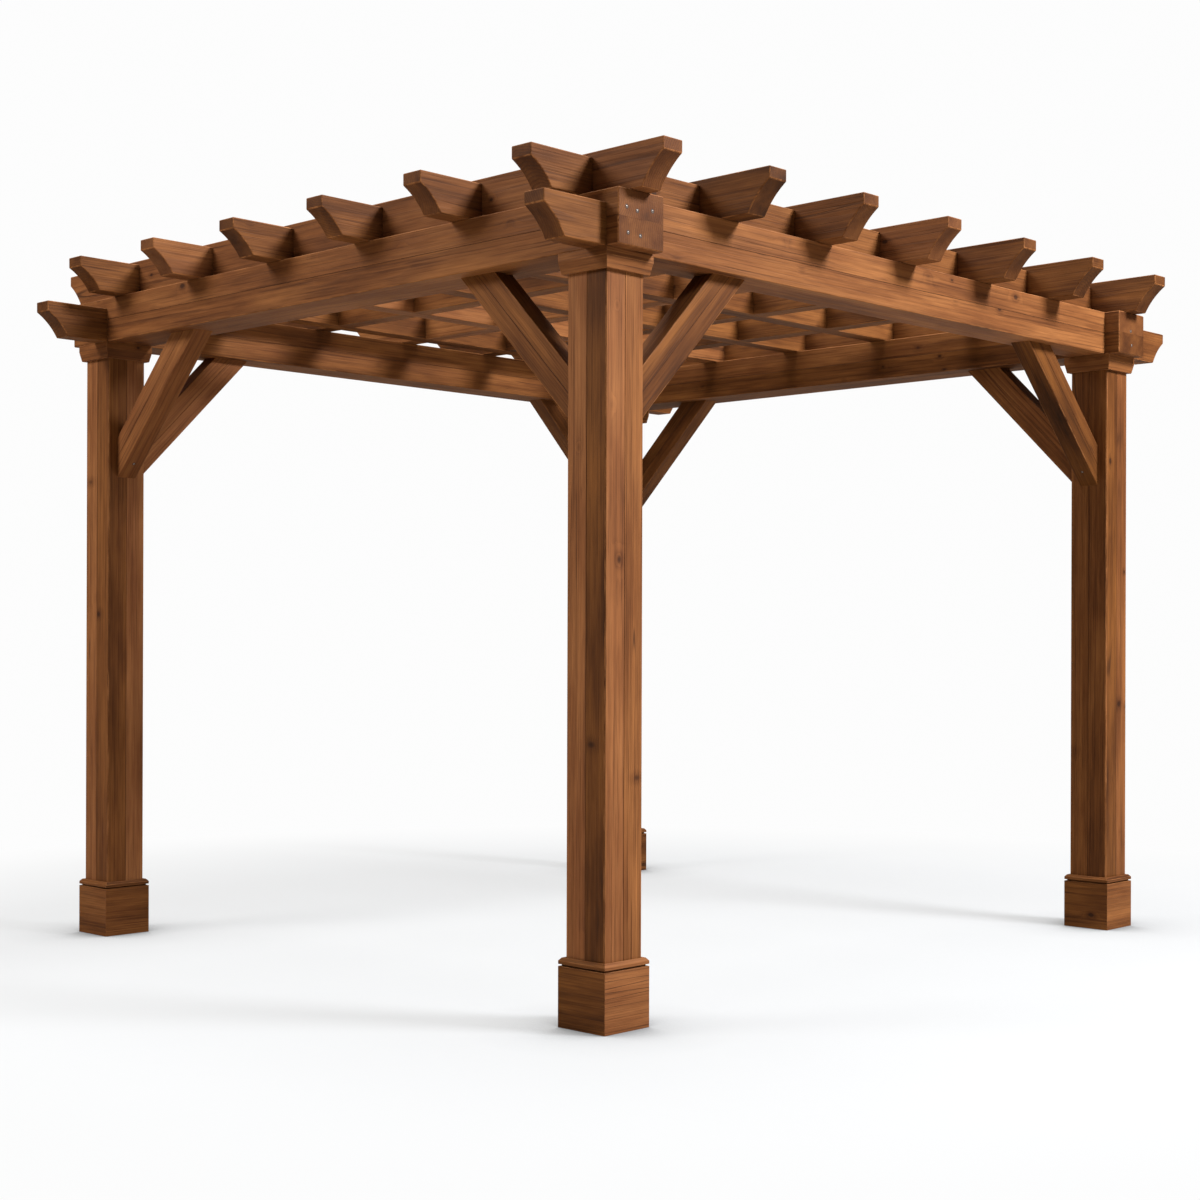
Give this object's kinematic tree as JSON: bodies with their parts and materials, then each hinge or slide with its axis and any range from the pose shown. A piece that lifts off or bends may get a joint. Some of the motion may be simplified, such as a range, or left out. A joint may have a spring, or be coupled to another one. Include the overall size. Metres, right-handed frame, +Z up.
{
  "type": "pergola",
  "caption": "Wooden garden pergola: square posts with boxed bases and knee braces, paired beams, and an open roof of purlins and rafters lapped together, ends cut to a cove.",
  "frame": {"origin": "middle of the plan, on the floor that the posts stand on", "axes": "+Z up, +X from left to right along the cross beams, -Y towards the front"},
  "size_m": [3.146, 2.798, 2.273],
  "materials": {
    "posts": "brown stained, satin",
    "bases": "brown stained, satin",
    "beams": "brown stained, satin",
    "braces": "brown stained, satin",
    "rafters": "brown stained, satin",
    "purlins": "brown stained, satin"
  },
  "bodies": {
    "root": {"post_front_left": "posts", "post_front_right": "posts", "post_rear_left": "posts", "post_rear_right": "posts", "base_front_left": "bases", "base_front_right": "bases", "base_rear_left": "bases", "base_rear_right": "bases", "base_trim_front_left": "bases", "base_trim_front_right": "bases", "base_trim_rear_left": "bases", "base_trim_rear_right": "bases", "cap_front_left": "bases", "cap_front_right": "bases", "cap_rear_left": "bases", "cap_rear_right": "bases", "side_beam_left": "beams", "side_beam_right": "beams", "cross_beam_front": "beams", "cross_beam_rear": "beams", "tail_front_left": "beams", "tail_front_right": "beams", "tail_rear_left": "beams", "tail_rear_right": "beams", "side_brace_front_left": "braces", "side_brace_front_right": "braces", "side_brace_rear_left": "braces", "side_brace_rear_right": "braces", "cross_brace_front_left": "braces", "cross_brace_front_right": "braces", "cross_brace_rear_left": "braces", "cross_brace_rear_right": "braces", "rafter_1": "rafters", "rafter_2": "rafters", "rafter_3": "rafters", "rafter_4": "rafters", "rafter_5": "rafters", "rafter_6": "rafters", "rafter_7": "rafters", "purlin_1": "purlins", "purlin_2": "purlins", "purlin_3": "purlins", "purlin_4": "purlins", "purlin_5": "purlins", "purlin_6": "purlins"}
  },
  "joints": []
}
